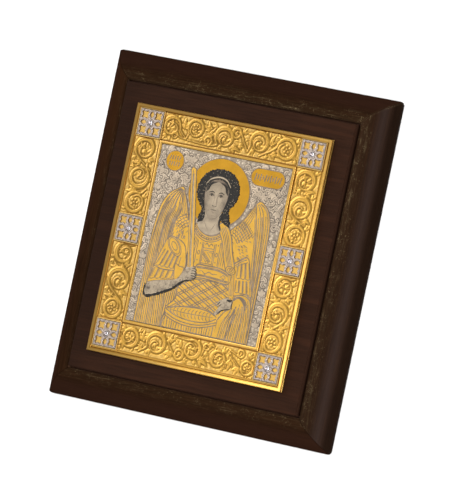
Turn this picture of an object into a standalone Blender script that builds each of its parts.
"""An icon panel lying on its back. A dark moulded wooden frame of four mitred rails holds a raised
board, and on the board sits a gilt plate: an embossed border of running scrolls, a flat engraved
picture in its window, and six silver openwork squares, each with a clear stone.

Metres, +Z up out of the picture, +Y to the picture's top, +X to its right. The origin is the
centre of the underside."""

import math
from collections import namedtuple

import bmesh
import bpy
from mathutils import Matrix, Vector

# Gap kept between pieces that touch
FIT = 0.0003

# Gilt border plate
PLATE_WIDTH = 0.177
PLATE_HEIGHT = 0.200
PLATE_THICK = 0.0037
RIM_WIDTH = 0.0038
BAND_WIDTH = 0.0228
FILLET_WIDTH = 0.0026
BAND_SINK = 0.0009
RIM_ROUND = 0.0012
LAYOUT_LIFT = 0.0008
PICTURE_SINK = 0.0008

# Scrolls of the border
SCROLL_HEIGHT = 0.00085
ARM_HALF_WIDTH = 0.0016
SMALL_ARM_SHARE = 0.7
SMALL_SCROLL = 0.0057
SCROLL_STEP = math.radians(32)
SCROLL_TURN = math.radians(430)
SMALL_SCROLL_TURN = math.radians(350)
EYE_SHARE = 0.24
LOBE_SHARE = 0.46
LOBE_SPREAD = math.radians(62)
# Along a leaf: share of its length, bend to the side and share of its full width
LEAF_SHAPE = ((0.0, 0.0, 0.5), (0.40, 0.10, 1.0), (0.75, 0.08, 0.75), (1.0, 0.0, 0.2))

# Silver squares and their stones
TILE_SIDE = 0.0206
TILE_THICK = 0.0011
TILE_POCKET = 0.0005
PETAL_REACH = 0.0068
PETAL_LENGTH = 0.0042
PETAL_WIDTH = 0.0028
LEAF_REACH = 0.0060
LEAF_SPAN = 0.0044
COLLET_RADIUS = 0.0030
COLLET_HEIGHT = 0.0007
STONE_RADIUS = 0.0018
STONE_CROWN = 0.0006
STONE_GIRDLE = 0.0001
STONE_PAVILION = 0.0009

# Wooden board behind the plate
BOARD_MARGIN = 0.0152
BOARD_RISE = 0.0095
BOARD_ROUND = 0.0005
FLANGE_THICK = 0.0065
FLANGE_REACH = 0.0070
BACK_RECESS = 0.0095

# Moulding of the frame, measured outwards from its inner edge
SHADOW_GAP = 0.0015
RAIL_WIDTH = 0.0231
RAIL_HEIGHT = 0.0227
SIGHT_HEIGHT = 0.0203
CROWN_START = 0.0035
CROWN_END = 0.0075
SIDE_HEIGHT = 0.0025
SHOULDER_POWER = 1.25
CORNER_ROUND = 0.0035

# Levels, stacked up from the underside
FLANGE_TOP = BACK_RECESS + FLANGE_THICK
BOARD_TOP = FLANGE_TOP + BOARD_RISE
PLATE_BOTTOM = BOARD_TOP + FIT
PLATE_TOP = PLATE_BOTTOM + PLATE_THICK
BAND_FLOOR = PLATE_TOP - BAND_SINK
POCKET_FLOOR = BAND_FLOOR - TILE_POCKET
TILE_BOTTOM = POCKET_FLOOR + FIT
TILE_TOP = TILE_BOTTOM + TILE_THICK

# The pattern sits a little above the plate's middle
LAYOUT = Vector((0.0, LAYOUT_LIFT))

# Half sizes in plan
PLATE_HALF = Vector((PLATE_WIDTH / 2, PLATE_HEIGHT / 2))
BAND_OUTER = PLATE_HALF - Vector((RIM_WIDTH, RIM_WIDTH))
BAND_INNER = BAND_OUTER - Vector((BAND_WIDTH, BAND_WIDTH))
WINDOW_HALF = BAND_INNER - Vector((FILLET_WIDTH, FILLET_WIDTH))
TILE_CENTRE = (BAND_OUTER + BAND_INNER) / 2
BOARD_HALF = PLATE_HALF + Vector((BOARD_MARGIN, BOARD_MARGIN))
SIGHT_HALF = BOARD_HALF + Vector((SHADOW_GAP, SHADOW_GAP))
FRAME_HALF = SIGHT_HALF + Vector((RAIL_WIDTH, RAIL_WIDTH))
FLANGE_HALF = SIGHT_HALF + Vector((FLANGE_REACH, FLANGE_REACH))

# Colour, roughness and metallic value of each material
DARK_WOOD = ("dark_wood", (0.030, 0.018, 0.012), 0.45, 0.0)
BOARD_WOOD = ("board_wood", (0.036, 0.020, 0.014), 0.50, 0.0)
GILT = ("gilt", (0.86, 0.50, 0.10), 0.32, 1.0)
ENGRAVED = ("engraved_metal", (0.62, 0.50, 0.30), 0.40, 1.0)
SILVER = ("silver", (0.62, 0.58, 0.54), 0.35, 1.0)
STONE = ("clear_stone", (0.90, 0.92, 0.95), 0.03, 0.0)

# One scroll of a run: its centre, outer radius, the angle in degrees where its arm reaches that
# radius, the way it turns (1 is anticlockwise), and the root of its stem. Lengths along the run
# are shares of the run's half length, and the rest are shares of the band's width.
Scroll = namedtuple("Scroll", "along across radius start turn root_along root_across")
# A loose leaf of a run: its base, its direction in degrees and its length
Leaf = namedtuple("Leaf", "along across heading length")

TOP_RUN = (
    Scroll(-0.86, 0.05, 0.38, 0, 1, -0.62, -0.32),
    Scroll(-0.79, -0.25, 0.16, 20, 1, -0.62, -0.34),
    Scroll(-0.51, 0.12, 0.34, 210, -1, -0.62, -0.30),
    Scroll(-0.31, -0.22, 0.20, -90, 1, -0.60, -0.34),
    Scroll(-0.09, 0.00, 0.40, 225, -1, -0.30, -0.40),
    Scroll(0.07, 0.21, 0.24, 20, 1, 0.25, -0.27),
    Scroll(0.41, 0.07, 0.40, 200, -1, 0.26, -0.34),
    Scroll(0.80, 0.00, 0.41, 165, -1, 0.44, -0.40),
)
TOP_LEAVES = (
    Leaf(-0.64, 0.04, 105, 0.40),
    Leaf(-0.29, 0.22, 165, 0.40),
    Leaf(-0.30, -0.08, 60, 0.34),
    Leaf(0.02, -0.33, -10, 0.42),
    Leaf(0.58, 0.02, 75, 0.40),
    Leaf(0.60, -0.28, -10, 0.34),
    Leaf(0.94, -0.28, 130, 0.22),
)
BOTTOM_RUN = (
    Scroll(-0.82, 0.05, 0.37, 240, 1, -0.98, 0.20),
    Scroll(-0.44, 0.03, 0.42, 200, -1, -0.67, -0.36),
    Scroll(-0.10, -0.17, 0.24, 225, 1, -0.29, 0.20),
    Scroll(0.08, 0.08, 0.37, 110, -1, -0.17, 0.40),
    Scroll(0.27, 0.26, 0.16, 200, -1, 0.20, -0.16),
    Scroll(0.45, -0.06, 0.32, 60, 1, 0.59, -0.28),
    Scroll(0.76, 0.30, 0.18, 240, 1, 0.60, 0.34),
    Scroll(0.88, -0.14, 0.28, 220, 1, 0.61, 0.22),
)
BOTTOM_LEAVES = (
    Leaf(-0.62, 0.02, 95, 0.40),
    Leaf(-0.93, -0.10, -80, 0.34),
    Leaf(-0.64, -0.16, -150, 0.30),
    Leaf(-0.24, 0.16, 80, 0.34),
    Leaf(0.18, -0.22, -25, 0.46),
    Leaf(0.30, 0.38, -20, 0.30),
    Leaf(0.62, -0.02, -100, 0.38),
    Leaf(0.90, 0.20, 70, 0.26),
)
LEFT_UPPER_RUN = (
    Scroll(0.69, -0.02, 0.42, 225, -1, 0.17, 0.36),
    Scroll(-0.04, -0.02, 0.42, 45, -1, 0.30, 0.20),
    Scroll(-0.67, 0.00, 0.40, 70, 1, -0.30, 0.36),
)
LEFT_UPPER_LEAVES = (
    Leaf(0.36, -0.08, 190, 0.36),
    Leaf(-0.33, -0.12, 200, 0.34),
)
LEFT_LOWER_RUN = (
    Scroll(0.71, 0.00, 0.40, 60, 1, 0.94, 0.38),
    Scroll(0.05, 0.02, 0.45, 225, -1, -0.50, 0.30),
    Scroll(-0.68, 0.00, 0.38, 45, -1, -0.36, -0.14),
)
LEFT_LOWER_LEAVES = (
    Leaf(0.38, 0.24, 75, 0.34),
    Leaf(0.37, -0.12, 185, 0.32),
    Leaf(-0.34, -0.12, 190, 0.32),
    Leaf(-0.90, -0.20, 165, 0.24),
)
RIGHT_UPPER_RUN = (
    Scroll(0.66, -0.03, 0.41, 200, -1, 0.34, -0.38),
    Scroll(-0.02, -0.02, 0.43, 215, -1, -0.42, 0.24),
    Scroll(-0.70, -0.03, 0.40, 20, 1, -0.94, 0.28),
)
RIGHT_UPPER_LEAVES = (
    Leaf(0.34, 0.04, 15, 0.42),
    Leaf(-0.30, 0.18, -20, 0.30),
    Leaf(-0.34, -0.08, 185, 0.36),
)
RIGHT_LOWER_RUN = (
    Scroll(0.67, -0.03, 0.40, 60, 1, 0.92, 0.36),
    Scroll(0.02, -0.06, 0.41, -45, 1, -0.48, -0.36),
    Scroll(-0.68, -0.04, 0.41, 200, -1, -0.94, -0.32),
)
RIGHT_LOWER_LEAVES = (
    Leaf(0.37, 0.16, 5, 0.30),
    Leaf(0.36, -0.16, 190, 0.32),
    Leaf(-0.36, 0.12, 20, 0.38),
    Leaf(-0.33, -0.14, 200, 0.32),
)


def clear_scene():
    for obj in list(bpy.data.objects):
        bpy.data.objects.remove(obj, do_unlink=True)


def new_collection(name):
    collection = bpy.data.collections.new(name)
    bpy.context.scene.collection.children.link(collection)
    return collection


def material(spec):
    name, colour, roughness, metallic = spec
    found = bpy.data.materials.get(name)
    if found:
        return found
    made = bpy.data.materials.new(name)
    made.use_nodes = True
    shader = made.node_tree.nodes["Principled BSDF"]
    shader.inputs["Base Color"].default_value = (*colour, 1.0)
    shader.inputs["Roughness"].default_value = roughness
    shader.inputs["Metallic"].default_value = metallic
    made.diffuse_color = (*colour, 1.0)
    return made


def add_object(name, mesh, collection, finish=None):
    obj = bpy.data.objects.new(name, mesh)
    collection.objects.link(obj)
    if finish:
        mesh.materials.append(material(finish))
    return obj


def add_cutter(name, mesh, collection):
    """A shape used only to cut or join another, left out of the model itself."""
    obj = add_object(name, mesh, collection)
    obj.hide_render = True
    obj.display_type = "WIRE"
    return obj


def mesh_from_curve(name, curve):
    """The curve's surface as a welded mesh, with its caps closed."""
    holder = bpy.data.objects.new(name, curve)
    bpy.context.scene.collection.objects.link(holder)
    graph = bpy.context.evaluated_depsgraph_get()
    mesh = bpy.data.meshes.new_from_object(holder.evaluated_get(graph))
    bpy.data.objects.remove(holder, do_unlink=True)
    bpy.data.curves.remove(curve)
    mesh.name = name
    mesh.materials.clear()
    work = bmesh.new()
    work.from_mesh(mesh)
    bmesh.ops.remove_doubles(work, verts=work.verts, dist=1e-6)
    bmesh.ops.recalc_face_normals(work, faces=work.faces)
    work.to_mesh(mesh)
    work.free()
    return mesh


def slab_mesh(name, outlines, bottom, top):
    """A flat piece between two levels: the first outline is its edge and the others are openings."""
    curve = bpy.data.curves.new(name, "CURVE")
    curve.dimensions = "2D"
    curve.fill_mode = "BOTH"
    curve.extrude = (top - bottom) / 2
    for outline in outlines:
        spline = curve.splines.new("POLY")
        spline.points.add(len(outline) - 1)
        for point, (x, y) in zip(spline.points, outline):
            point.co = (x, y, 0.0, 1.0)
        spline.use_cyclic_u = True
    mesh = mesh_from_curve(name, curve)
    mesh.transform(Matrix.Translation((0, 0, (top + bottom) / 2)))
    return mesh


def rectangle(half, centre=(0.0, 0.0)):
    x, y = centre
    return [
        (x - half[0], y - half[1]),
        (x + half[0], y - half[1]),
        (x + half[0], y + half[1]),
        (x - half[0], y + half[1]),
    ]


def circle(radius, sides):
    angles = [2 * math.pi * k / sides for k in range(sides)]
    return [(radius * math.cos(a), radius * math.sin(a)) for a in angles]


def block_mesh(name, half, bottom, top, centre=(0.0, 0.0)):
    """A rectangular block between two levels."""
    mesh = bpy.data.meshes.new(name)
    work = bmesh.new()
    bmesh.ops.create_cube(work, size=1.0)
    size = Matrix.Diagonal((2 * half[0], 2 * half[1], top - bottom, 1.0))
    place = Matrix.Translation((centre[0], centre[1], (top + bottom) / 2))
    bmesh.ops.transform(work, matrix=place @ size, verts=work.verts)
    work.to_mesh(mesh)
    work.free()
    return mesh


def bevel_level_edges(mesh, level, width, segments, keep):
    """Rounds the edges that lie at one level and that keep() accepts by their middle point."""
    work = bmesh.new()
    work.from_mesh(mesh)
    chosen = []
    for edge in work.edges:
        middle = (edge.verts[0].co + edge.verts[1].co) / 2
        level_edge = all(abs(v.co.z - level) < 1e-6 for v in edge.verts)
        if level_edge and keep(middle):
            chosen.append(edge)
    bmesh.ops.bevel(
        work, geom=chosen, offset=width, segments=segments, affect="EDGES", profile=0.5
    )
    work.to_mesh(mesh)
    work.free()


def add_boolean(obj, cutter, operation):
    modifier = obj.modifiers.new(f"{operation.lower()}_{cutter.name}", "BOOLEAN")
    modifier.operation = operation
    modifier.solver = "EXACT"
    modifier.object = cutter


def add_boolean_with_all(obj, collection, operation):
    modifier = obj.modifiers.new(f"{operation.lower()}_{collection.name}", "BOOLEAN")
    modifier.operation = operation
    modifier.solver = "EXACT"
    modifier.operand_type = "COLLECTION"
    modifier.collection = collection


# The moulded frame


def rail_profile():
    """Section of the moulding: x runs outwards from the inner edge and y up from the underside."""
    rabbet_width = FLANGE_REACH + FIT
    rabbet_top = FLANGE_TOP + FIT
    points = [(rabbet_width, 0.0), (rabbet_width, rabbet_top), (0.0, rabbet_top)]
    rise = RAIL_HEIGHT - SIGHT_HEIGHT
    inner_steps = 5
    for k in range(inner_steps + 1):
        angle = math.pi / 2 * k / inner_steps
        across = CROWN_START * (1 - math.cos(angle))
        points.append((across, SIGHT_HEIGHT + rise * math.sin(angle)))
    shoulder_width = RAIL_WIDTH - CROWN_END
    shoulder_drop = RAIL_HEIGHT - SIDE_HEIGHT
    outer_steps = 12
    for k in range(outer_steps + 1):
        angle = math.pi / 2 * k / outer_steps
        across = math.sin(angle) ** (2 / SHOULDER_POWER)
        up = max(math.cos(angle), 0.0) ** (2 / SHOULDER_POWER)
        points.append((CROWN_END + shoulder_width * across, SIDE_HEIGHT + shoulder_drop * up))
    points.append((RAIL_WIDTH, 0.0))
    return points


def rail_mesh(name, half_length, sight):
    """One rail along X, its inner edge `sight` away from the middle, cut to a mitre at both ends."""
    curve = bpy.data.curves.new(name, "CURVE")
    curve.dimensions = "2D"
    curve.fill_mode = "BOTH"
    curve.extrude = half_length + RAIL_WIDTH
    spline = curve.splines.new("POLY")
    profile = rail_profile()
    spline.points.add(len(profile) - 1)
    for point, (across, up) in zip(spline.points, profile):
        point.co = (across, up, 0.0, 1.0)
    spline.use_cyclic_u = True
    mesh = mesh_from_curve(name, curve)
    # The section stands in XY and runs along Z: turn it to stand in YZ and run along X
    turn = Matrix(((0, 0, 1, 0), (1, 0, 0, sight), (0, 1, 0, 0), (0, 0, 0, 1)))
    mesh.transform(turn)
    work = bmesh.new()
    work.from_mesh(mesh)
    for side in (-1, 1):
        corner = Vector((side * half_length, sight, 0.0))
        outward = Vector((side, -1, 0)).normalized()
        geometry = work.verts[:] + work.edges[:] + work.faces[:]
        bmesh.ops.bisect_plane(
            work,
            geom=geometry,
            dist=1e-7,
            plane_co=corner - outward * FIT / 2,
            plane_no=outward,
            clear_outer=True,
        )
        rim = [edge for edge in work.edges if edge.is_boundary]
        bmesh.ops.contextual_create(work, geom=rim)
    bmesh.ops.recalc_face_normals(work, faces=work.faces)
    work.to_mesh(mesh)
    work.free()
    return mesh


def make_frame(collection, cutters):
    """Four mitred rails whose outer corners are rounded in plan."""
    reach = FRAME_HALF + Vector((FIT / 3, FIT / 3))
    blank = block_mesh("rounded_outline", reach, -RAIL_HEIGHT, 2 * RAIL_HEIGHT)
    work = bmesh.new()
    work.from_mesh(blank)
    uprights = [e for e in work.edges if abs(e.verts[0].co.z - e.verts[1].co.z) > RAIL_HEIGHT]
    bmesh.ops.bevel(
        work, geom=uprights, offset=CORNER_ROUND, segments=4, affect="EDGES", profile=0.5
    )
    work.to_mesh(blank)
    work.free()
    outline = add_cutter("rounded_outline", blank, cutters)
    sides = (
        ("rail_top", SIGHT_HALF.x, SIGHT_HALF.y, 0),
        ("rail_left", SIGHT_HALF.y, SIGHT_HALF.x, 90),
        ("rail_bottom", SIGHT_HALF.x, SIGHT_HALF.y, 180),
        ("rail_right", SIGHT_HALF.y, SIGHT_HALF.x, 270),
    )
    for name, half_length, sight, turn in sides:
        mesh = rail_mesh(name, half_length, sight)
        mesh.transform(Matrix.Rotation(math.radians(turn), 4, "Z"))
        rail = add_object(name, mesh, collection, DARK_WOOD)
        add_boolean(rail, outline, "INTERSECT")


def make_board(collection):
    """A panel with a raised field, held by a flange that lies in the rabbet of the rails."""
    mesh = block_mesh("board", FLANGE_HALF, BACK_RECESS, FLANGE_TOP)
    work = bmesh.new()
    work.from_mesh(mesh)
    lid = max(work.faces, key=lambda face: face.calc_center_median().z)
    inset = SHADOW_GAP + FLANGE_REACH
    bmesh.ops.inset_individual(work, faces=[lid], thickness=inset, use_even_offset=True)
    raised = bmesh.ops.extrude_face_region(work, geom=[lid])
    moved = [item for item in raised["geom"] if isinstance(item, bmesh.types.BMVert)]
    bmesh.ops.translate(work, verts=moved, vec=(0, 0, BOARD_RISE))
    bmesh.ops.delete(work, geom=[lid], context="FACES_ONLY")
    bmesh.ops.recalc_face_normals(work, faces=work.faces)
    work.to_mesh(mesh)
    work.free()
    bevel_level_edges(mesh, BOARD_TOP, BOARD_ROUND, 2, lambda middle: True)
    add_object("board", mesh, collection, BOARD_WOOD)


# The embossed border


def tube_mesh(name, points, radii, sides_resolution):
    """A tapering round stem along points, flattened so that half of it stands above the floor."""
    curve = bpy.data.curves.new(name, "CURVE")
    curve.dimensions = "3D"
    curve.fill_mode = "FULL"
    curve.bevel_depth = 1.0
    curve.bevel_resolution = sides_resolution
    curve.use_fill_caps = True
    spline = curve.splines.new("POLY")
    spline.points.add(len(points) - 1)
    for point, (x, y), radius in zip(spline.points, points, radii):
        point.co = (x, y, 0.0, 1.0)
        point.radius = radius
    mesh = mesh_from_curve(name, curve)
    flatten = Matrix.Diagonal((1, 1, SCROLL_HEIGHT / ARM_HALF_WIDTH, 1))
    mesh.transform(Matrix.Translation((0, 0, BAND_FLOOR)) @ flatten)
    return mesh


def stem_points(root, start, heading, steps):
    """Points of a smooth stem from its root that meets the scroll's arm at start, along heading."""
    reach = (start - root).length
    first = (start - root) * 0.9
    last = heading * reach * 0.9
    points = []
    for k in range(steps):
        t = k / steps
        blend = (
            root * (2 * t**3 - 3 * t**2 + 1)
            + first * (t**3 - 2 * t**2 + t)
            + start * (3 * t**2 - 2 * t**3)
            + last * (t**3 - t**2)
        )
        points.append(blend)
    return points


def scroll_path(centre, radius, start, turn, root):
    """Points of one scroll from its root and round its shrinking arm to the eye."""
    first = centre + Vector((math.cos(start), math.sin(start))) * radius
    heading = Vector((-math.sin(start), math.cos(start))) * turn
    points = stem_points(root, first, heading, 3)
    wind = SCROLL_TURN if radius > SMALL_SCROLL else SMALL_SCROLL_TURN
    steps = round(wind / SCROLL_STEP)
    for k in range(steps + 1):
        share = k / steps
        angle = start + turn * wind * share
        reach = radius * (1 - (1 - EYE_SHARE) * share**0.85)
        points.append(centre + Vector((math.cos(angle), math.sin(angle))) * reach)
    return points


def scroll_radii(count, radius):
    """Half widths along a scroll: thin at the root, full in the arm, then a bud at the eye."""
    full = ARM_HALF_WIDTH * (1.0 if radius > SMALL_SCROLL else SMALL_ARM_SHARE)
    radii = []
    for k in range(count):
        share = k / (count - 1)
        swell = math.sin(math.pi * min(share / 0.8, 1.0)) ** 0.7
        radii.append(full * (0.55 + 0.45 * swell))
    radii[0] = full * 0.35
    radii[-2:] = [full * 0.85, full * 0.55]
    return radii


def add_leaf(name, base, heading, length, scrollwork):
    """A plump, slightly bent leaf that narrows to a tip."""
    ahead = Vector((math.cos(heading), math.sin(heading)))
    aside = Vector((-ahead.y, ahead.x))
    width = min(ARM_HALF_WIDTH, length * 0.30)
    points = []
    radii = []
    for share, bend, fullness in LEAF_SHAPE:
        points.append(base + ahead * length * share + aside * length * bend)
        radii.append(width * fullness)
    add_cutter(name, tube_mesh(name, points, radii, 1), scrollwork)


def add_scroll(name, centre, radius, start, turn, root, scrollwork):
    """One scroll; a larger one has two lobes beside its bud."""
    path = scroll_path(centre, radius, start, turn, root)
    add_cutter(name, tube_mesh(name, path, scroll_radii(len(path), radius), 1), scrollwork)
    if radius < SMALL_SCROLL:
        return
    ahead = path[-1] - path[-2]
    heading = math.atan2(ahead.y, ahead.x)
    for side in (-1, 1):
        lobe = heading + side * LOBE_SPREAD
        # The two lobes start a little apart, so that no corner of one lies on the other
        base = path[-1] + Vector((math.cos(lobe), math.sin(lobe))) * radius * 0.04
        add_leaf(f"{name}_lobe_{side}", base, lobe, radius * LOBE_SHARE, scrollwork)


def add_run(name, scrolls, leaves, place, scrollwork):
    """One run of scrolls and leaves; place() turns a pair of shares into a point of the plate."""
    for number, scroll in enumerate(scrolls):
        centre = place(scroll.along, scroll.across)
        root = place(scroll.root_along, scroll.root_across)
        radius = scroll.radius * BAND_WIDTH
        start = math.radians(scroll.start)
        title = f"{name}_scroll_{number + 1}"
        add_scroll(title, centre, radius, start, scroll.turn, root, scrollwork)
    for number, leaf in enumerate(leaves):
        base = place(leaf.along, leaf.across)
        heading = math.radians(leaf.heading)
        title = f"{name}_leaf_{number + 1}"
        add_leaf(title, base, heading, leaf.length * BAND_WIDTH, scrollwork)


def make_border(collection, cutters):
    """The gilt plate: rim, sunk band with its scrolls, inner fillet and picture window."""
    outlines = [rectangle(PLATE_HALF), rectangle(WINDOW_HALF, LAYOUT)]
    mesh = slab_mesh("border", outlines, PLATE_BOTTOM, PLATE_TOP)

    def on_outer_edge(middle):
        inner = PLATE_HALF - Vector((RIM_ROUND, RIM_ROUND))
        return abs(middle.x) > inner.x or abs(middle.y) > inner.y

    bevel_level_edges(mesh, PLATE_TOP, RIM_ROUND, 2, on_outer_edge)
    border = add_object("border", mesh, collection, GILT)

    ring = [rectangle(BAND_OUTER, LAYOUT), rectangle(BAND_INNER, LAYOUT)]
    band = slab_mesh("sunk_band", ring, BAND_FLOOR, 2 * PLATE_TOP)
    add_boolean(border, add_cutter("sunk_band", band, cutters), "DIFFERENCE")

    scrollwork = new_collection("scrollwork")
    tile_half = TILE_SIDE / 2
    run_x = TILE_CENTRE.x - tile_half
    run_y = (TILE_CENTRE.y - 2 * tile_half) / 2
    middle_y = tile_half + run_y

    def along_x(centre_y):
        middle = LAYOUT + Vector((0.0, centre_y))
        return lambda along, across: middle + Vector((along * run_x, across * BAND_WIDTH))

    def along_y(centre_x, centre_y):
        middle = LAYOUT + Vector((centre_x, centre_y))
        return lambda along, across: middle + Vector((across * BAND_WIDTH, along * run_y))

    left = -TILE_CENTRE.x
    right = TILE_CENTRE.x
    runs = (
        ("top", TOP_RUN, TOP_LEAVES, along_x(TILE_CENTRE.y)),
        ("bottom", BOTTOM_RUN, BOTTOM_LEAVES, along_x(-TILE_CENTRE.y)),
        ("left_upper", LEFT_UPPER_RUN, LEFT_UPPER_LEAVES, along_y(left, middle_y)),
        ("left_lower", LEFT_LOWER_RUN, LEFT_LOWER_LEAVES, along_y(left, -middle_y)),
        ("right_upper", RIGHT_UPPER_RUN, RIGHT_UPPER_LEAVES, along_y(right, middle_y)),
        ("right_lower", RIGHT_LOWER_RUN, RIGHT_LOWER_LEAVES, along_y(right, -middle_y)),
    )
    for name, scrolls, leaves, place in runs:
        add_run(name, scrolls, leaves, place, scrollwork)
    add_boolean_with_all(border, scrollwork, "UNION")

    pocket_half = Vector((tile_half + FIT, tile_half + FIT))
    for name, centre in tile_places():
        pocket = block_mesh(f"pocket_{name}", pocket_half, POCKET_FLOOR, 2 * PLATE_TOP, centre)
        add_boolean(border, add_cutter(f"pocket_{name}", pocket, cutters), "DIFFERENCE")


def make_picture(collection):
    """The flat engraved plate in the border's window."""
    half = WINDOW_HALF - Vector((FIT, FIT))
    mesh = block_mesh("picture_plate", half, PLATE_BOTTOM, PLATE_TOP - PICTURE_SINK, LAYOUT)
    add_object("picture_plate", mesh, collection, ENGRAVED)


# The silver squares and their stones


def tile_places():
    """Name and centre of each silver square: the four corners and the middle of both sides."""
    places = []
    for row, y in (("top", TILE_CENTRE.y), ("middle", 0.0), ("bottom", -TILE_CENTRE.y)):
        for side, x in (("left", -TILE_CENTRE.x), ("right", TILE_CENTRE.x)):
            places.append((f"{row}_{side}", LAYOUT + Vector((x, y))))
    return places


def turned(points, degrees):
    angle = math.radians(degrees)
    cosine, sine = math.cos(angle), math.sin(angle)
    return [(x * cosine - y * sine, x * sine + y * cosine) for x, y in points]


def petal_opening():
    """A pointed drop that widens outwards along +Y."""
    half_length, half_width = PETAL_LENGTH / 2, PETAL_WIDTH / 2
    return [
        (0.0, PETAL_REACH - half_length),
        (half_width * 0.8, PETAL_REACH - half_length * 0.2),
        (half_width, PETAL_REACH + half_length * 0.35),
        (half_width * 0.5, PETAL_REACH + half_length * 0.9),
        (-half_width * 0.5, PETAL_REACH + half_length * 0.9),
        (-half_width, PETAL_REACH + half_length * 0.35),
        (-half_width * 0.8, PETAL_REACH - half_length * 0.2),
    ]


def leaf_opening():
    """A four-pointed leaf in the corner of the square, with hollow sides."""
    half = LEAF_SPAN / 2
    waist = half * 0.55
    points = []
    for k in range(4):
        corner, side = math.radians(45 + 90 * k), math.radians(90 + 90 * k)
        tip = half * math.sqrt(2) * 0.92
        points.append((LEAF_REACH + tip * math.cos(corner), LEAF_REACH + tip * math.sin(corner)))
        points.append((LEAF_REACH + waist * math.cos(side), LEAF_REACH + waist * math.sin(side)))
    return points


def tile_mesh():
    """The openwork square, pierced by petals and leaves, about its own centre."""
    half = TILE_SIDE / 2
    outlines = [rectangle((half, half))]
    for quarter in range(4):
        outlines.append(turned(petal_opening(), 90 * quarter))
        outlines.append(turned(leaf_opening(), 90 * quarter))
    return slab_mesh("silver_square", outlines, TILE_BOTTOM, TILE_TOP)


def collet_mesh():
    """The round boss that holds the stone, sunk a little into the square."""
    outline = circle(COLLET_RADIUS, 10)
    return slab_mesh("collet", [outline], TILE_TOP - TILE_THICK / 2, TILE_TOP + COLLET_HEIGHT)


def seat_mesh():
    """The hole through boss and square that the stone stands in."""
    outline = circle(STONE_RADIUS + FIT, 10)
    return slab_mesh("seat", [outline], TILE_BOTTOM - TILE_THICK, TILE_TOP + 2 * COLLET_HEIGHT)


def stone_mesh():
    """Half section of the cut stone, down its outer side from the middle of its flat top."""
    girdle = TILE_TOP + COLLET_HEIGHT - STONE_GIRDLE
    profile = (
        (0.0, girdle + STONE_CROWN),
        (STONE_RADIUS * 0.55, girdle + STONE_CROWN),
        (STONE_RADIUS, girdle),
        (STONE_RADIUS, girdle - STONE_GIRDLE),
        (0.0, girdle - STONE_GIRDLE - STONE_PAVILION),
    )
    mesh = bpy.data.meshes.new("stone")
    edges = [(k, k + 1) for k in range(len(profile) - 1)]
    mesh.from_pydata([(x, 0.0, z) for x, z in profile], edges, [])
    return mesh


def make_tiles(collection, cutters):
    tile = tile_mesh()
    tile.materials.append(material(SILVER))
    collet = collet_mesh()
    seat = seat_mesh()
    stone = stone_mesh()
    stone.materials.append(material(STONE))
    for name, (x, y) in tile_places():
        square = bpy.data.objects.new(f"silver_square_{name}", tile)
        square.location = (x, y, 0.0)
        collection.objects.link(square)
        for shape, operation in ((collet, "UNION"), (seat, "DIFFERENCE")):
            tool = add_cutter(f"{shape.name}_{name}", shape, cutters)
            tool.location = square.location
            add_boolean(square, tool, operation)

        gem = bpy.data.objects.new(f"stone_{name}", stone)
        gem.location = square.location
        collection.objects.link(gem)
        turn = gem.modifiers.new("turned", "SCREW")
        turn.steps = 12
        turn.render_steps = 12
        turn.use_merge_vertices = True
        turn.merge_threshold = 0.00001
        turn.use_smooth_shade = False


def main():
    clear_scene()
    parts = new_collection("icon_panel")
    cutters = new_collection("cutters")
    make_frame(parts, cutters)
    make_board(parts)
    make_border(parts, cutters)
    make_picture(parts)
    make_tiles(parts, cutters)
    bpy.context.view_layer.update()


main()
